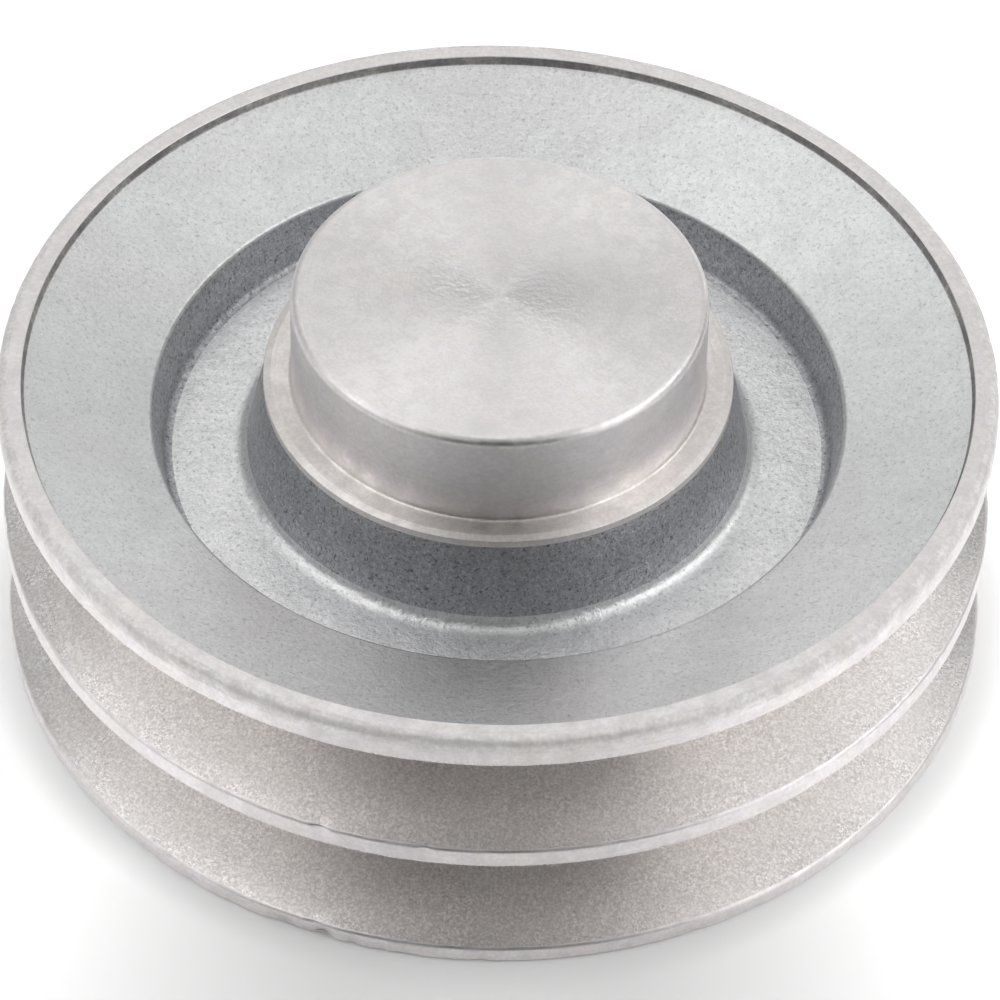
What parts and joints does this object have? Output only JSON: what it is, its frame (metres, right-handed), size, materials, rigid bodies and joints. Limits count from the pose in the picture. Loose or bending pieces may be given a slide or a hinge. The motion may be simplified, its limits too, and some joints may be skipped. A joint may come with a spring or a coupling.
{
  "type": "v belt pulley",
  "caption": "V-belt idler pulley: cast aluminium wheel with belt grooves and a closed turned nose, running on sealed ball bearings on a stub axle tapped from behind.",
  "frame": {"origin": "on the spin axis, in the plane of the rim's rear face", "axes": "+Z along the spin axis, from the rear face towards the closed nose; +X and +Y are free, as the wheel is round"},
  "size_m": [0.132, 0.132, 0.0559],
  "materials": {
    "cast_aluminium": "as-cast skin with turned faces",
    "axle_steel": "turned",
    "zinc_steel": "zinc plated",
    "spring_steel": "phosphated",
    "bearing_steel": "ground",
    "ball_steel": "polished",
    "cage_steel": "pressed",
    "seal_rubber": "moulded"
  },
  "bodies": {
    "axle_group": {"axle": "axle_steel", "lock_washer": "zinc_steel", "lock_nut": "zinc_steel", "inner_spacer": "axle_steel", "dust_shield": "zinc_steel", "front_bearing_inner_ring": "bearing_steel", "rear_bearing_inner_ring": "bearing_steel"},
    "pulley": {"pulley_body": "cast_aluminium", "outer_spacer": "axle_steel", "retaining_ring": "spring_steel", "front_bearing_outer_ring": "bearing_steel", "front_bearing_front_seal": "seal_rubber", "front_bearing_rear_seal": "seal_rubber", "rear_bearing_outer_ring": "bearing_steel", "rear_bearing_front_seal": "seal_rubber", "rear_bearing_rear_seal": "seal_rubber"},
    "front_cage": {"front_bearing_cage_front_half": "cage_steel", "front_bearing_cage_rear_half": "cage_steel", "front_bearing_cage_rivets": "cage_steel"},
    "front_ball_1": {"front_bearing_ball_1": "ball_steel"},
    "front_ball_2": {"front_bearing_ball_2": "ball_steel"},
    "front_ball_3": {"front_bearing_ball_3": "ball_steel"},
    "front_ball_4": {"front_bearing_ball_4": "ball_steel"},
    "front_ball_5": {"front_bearing_ball_5": "ball_steel"},
    "front_ball_6": {"front_bearing_ball_6": "ball_steel"},
    "front_ball_7": {"front_bearing_ball_7": "ball_steel"},
    "front_ball_8": {"front_bearing_ball_8": "ball_steel"},
    "rear_cage": {"rear_bearing_cage_front_half": "cage_steel", "rear_bearing_cage_rear_half": "cage_steel", "rear_bearing_cage_rivets": "cage_steel"},
    "rear_ball_1": {"rear_bearing_ball_1": "ball_steel"},
    "rear_ball_2": {"rear_bearing_ball_2": "ball_steel"},
    "rear_ball_3": {"rear_bearing_ball_3": "ball_steel"},
    "rear_ball_4": {"rear_bearing_ball_4": "ball_steel"},
    "rear_ball_5": {"rear_bearing_ball_5": "ball_steel"},
    "rear_ball_6": {"rear_bearing_ball_6": "ball_steel"},
    "rear_ball_7": {"rear_bearing_ball_7": "ball_steel"},
    "rear_ball_8": {"rear_bearing_ball_8": "ball_steel"}
  },
  "joints": [
    {"name": "pulley_spin", "type": "hinge", "parent": "axle_group", "child": "pulley", "pos_m": [0, 0, 0.021], "axis": [0, 0, 1], "continuous": true},
    {"name": "front_cage_spin", "type": "hinge", "parent": "axle_group", "child": "front_cage", "pos_m": [0, 0, 0.031], "axis": [0, 0, 1], "continuous": true},
    {"name": "front_ball_1_spin", "type": "hinge", "parent": "front_cage", "child": "front_ball_1", "pos_m": [0.01675, 0, 0.031], "axis": [0, 0, 1], "continuous": true},
    {"name": "front_ball_2_spin", "type": "hinge", "parent": "front_cage", "child": "front_ball_2", "pos_m": [0.01184, 0.01184, 0.031], "axis": [0, 0, 1], "continuous": true},
    {"name": "front_ball_3_spin", "type": "hinge", "parent": "front_cage", "child": "front_ball_3", "pos_m": [0, 0.01675, 0.031], "axis": [0, 0, 1], "continuous": true},
    {"name": "front_ball_4_spin", "type": "hinge", "parent": "front_cage", "child": "front_ball_4", "pos_m": [-0.01184, 0.01184, 0.031], "axis": [0, 0, 1], "continuous": true},
    {"name": "front_ball_5_spin", "type": "hinge", "parent": "front_cage", "child": "front_ball_5", "pos_m": [-0.01675, 0, 0.031], "axis": [0, 0, 1], "continuous": true},
    {"name": "front_ball_6_spin", "type": "hinge", "parent": "front_cage", "child": "front_ball_6", "pos_m": [-0.01184, -0.01184, 0.031], "axis": [0, 0, 1], "continuous": true},
    {"name": "front_ball_7_spin", "type": "hinge", "parent": "front_cage", "child": "front_ball_7", "pos_m": [0, -0.01675, 0.031], "axis": [0, 0, 1], "continuous": true},
    {"name": "front_ball_8_spin", "type": "hinge", "parent": "front_cage", "child": "front_ball_8", "pos_m": [0.01184, -0.01184, 0.031], "axis": [0, 0, 1], "continuous": true},
    {"name": "rear_cage_spin", "type": "hinge", "parent": "axle_group", "child": "rear_cage", "pos_m": [0, 0, 0.011], "axis": [0, 0, 1], "continuous": true},
    {"name": "rear_ball_1_spin", "type": "hinge", "parent": "rear_cage", "child": "rear_ball_1", "pos_m": [0.01675, 0, 0.011], "axis": [0, 0, 1], "continuous": true},
    {"name": "rear_ball_2_spin", "type": "hinge", "parent": "rear_cage", "child": "rear_ball_2", "pos_m": [0.01184, 0.01184, 0.011], "axis": [0, 0, 1], "continuous": true},
    {"name": "rear_ball_3_spin", "type": "hinge", "parent": "rear_cage", "child": "rear_ball_3", "pos_m": [0, 0.01675, 0.011], "axis": [0, 0, 1], "continuous": true},
    {"name": "rear_ball_4_spin", "type": "hinge", "parent": "rear_cage", "child": "rear_ball_4", "pos_m": [-0.01184, 0.01184, 0.011], "axis": [0, 0, 1], "continuous": true},
    {"name": "rear_ball_5_spin", "type": "hinge", "parent": "rear_cage", "child": "rear_ball_5", "pos_m": [-0.01675, 0, 0.011], "axis": [0, 0, 1], "continuous": true},
    {"name": "rear_ball_6_spin", "type": "hinge", "parent": "rear_cage", "child": "rear_ball_6", "pos_m": [-0.01184, -0.01184, 0.011], "axis": [0, 0, 1], "continuous": true},
    {"name": "rear_ball_7_spin", "type": "hinge", "parent": "rear_cage", "child": "rear_ball_7", "pos_m": [0, -0.01675, 0.011], "axis": [0, 0, 1], "continuous": true},
    {"name": "rear_ball_8_spin", "type": "hinge", "parent": "rear_cage", "child": "rear_ball_8", "pos_m": [0.01184, -0.01184, 0.011], "axis": [0, 0, 1], "continuous": true}
  ],
  "couplings": [
    {"joint": "front_cage_spin", "follows": "pulley_spin", "ratio": 0.61848},
    {"joint": "front_ball_1_spin", "follows": "pulley_spin", "ratio": 1.9916},
    {"joint": "front_ball_2_spin", "follows": "pulley_spin", "ratio": 1.9916},
    {"joint": "front_ball_3_spin", "follows": "pulley_spin", "ratio": 1.9916},
    {"joint": "front_ball_4_spin", "follows": "pulley_spin", "ratio": 1.9916},
    {"joint": "front_ball_5_spin", "follows": "pulley_spin", "ratio": 1.9916},
    {"joint": "front_ball_6_spin", "follows": "pulley_spin", "ratio": 1.9916},
    {"joint": "front_ball_7_spin", "follows": "pulley_spin", "ratio": 1.9916},
    {"joint": "front_ball_8_spin", "follows": "pulley_spin", "ratio": 1.9916},
    {"joint": "rear_cage_spin", "follows": "pulley_spin", "ratio": 0.61848},
    {"joint": "rear_ball_1_spin", "follows": "pulley_spin", "ratio": 1.9916},
    {"joint": "rear_ball_2_spin", "follows": "pulley_spin", "ratio": 1.9916},
    {"joint": "rear_ball_3_spin", "follows": "pulley_spin", "ratio": 1.9916},
    {"joint": "rear_ball_4_spin", "follows": "pulley_spin", "ratio": 1.9916},
    {"joint": "rear_ball_5_spin", "follows": "pulley_spin", "ratio": 1.9916},
    {"joint": "rear_ball_6_spin", "follows": "pulley_spin", "ratio": 1.9916},
    {"joint": "rear_ball_7_spin", "follows": "pulley_spin", "ratio": 1.9916},
    {"joint": "rear_ball_8_spin", "follows": "pulley_spin", "ratio": 1.9916}
  ]
}
